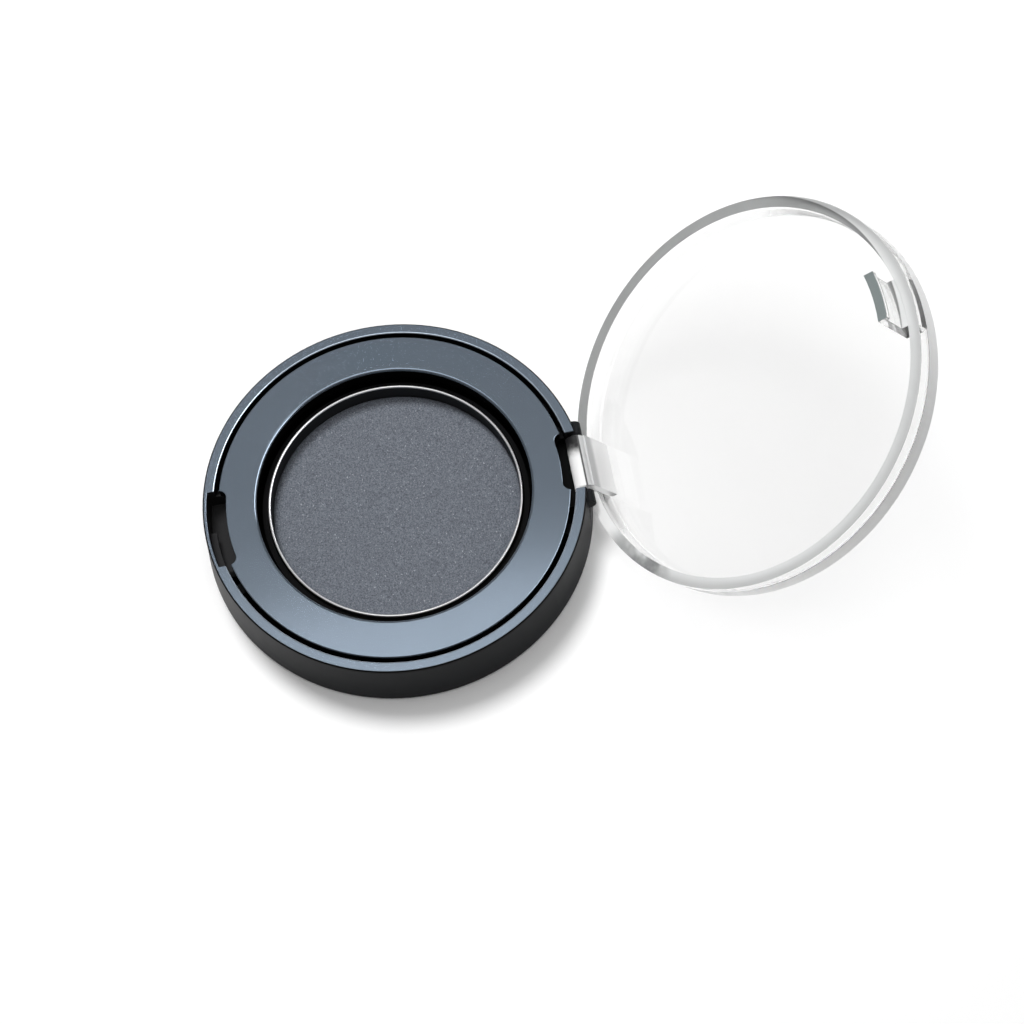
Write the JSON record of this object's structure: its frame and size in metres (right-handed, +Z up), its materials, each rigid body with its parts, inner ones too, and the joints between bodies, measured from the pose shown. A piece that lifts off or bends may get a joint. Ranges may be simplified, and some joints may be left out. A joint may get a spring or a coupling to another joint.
{
  "type": "single-pan pressed powder compact",
  "caption": "Round moulded compact with a hinged clear lid, shown open over a metal pan of grey pressed powder set in a satin face ring.",
  "frame": {"origin": "centre of the case's underside, on the surface that the compact stands on", "axes": "+Z up out of the case, +Y from the case's centre towards the hinge, +X along the hinge pin"},
  "size_m": [0.04, 0.0735, 0.028],
  "materials": {
    "case_plastic": "satin dark slate-blue moulded plastic",
    "ring_plastic": "satin slate-blue moulded plastic",
    "pan_metal": "bright drawn sheet",
    "powder_cake": "matt pressed powder with a fine grain",
    "adhesive": "cured adhesive",
    "pin_steel": "drawn wire",
    "clear_plastic": "clear polished moulding"
  },
  "bodies": {
    "case": {"base_shell": "case_plastic", "face_ring": "ring_plastic", "pan": "pan_metal", "pressed_powder": "powder_cake", "pan_adhesive": "adhesive", "hinge_pin": "pin_steel"},
    "lid": {"lid": "clear_plastic"}
  },
  "joints": [
    {"name": "lid_hinge", "type": "hinge", "parent": "case", "child": "lid", "pos_m": [0, 0.0191, 0.0048], "axis": [1, 0, 0], "range_deg": [0, 144]}
  ]
}
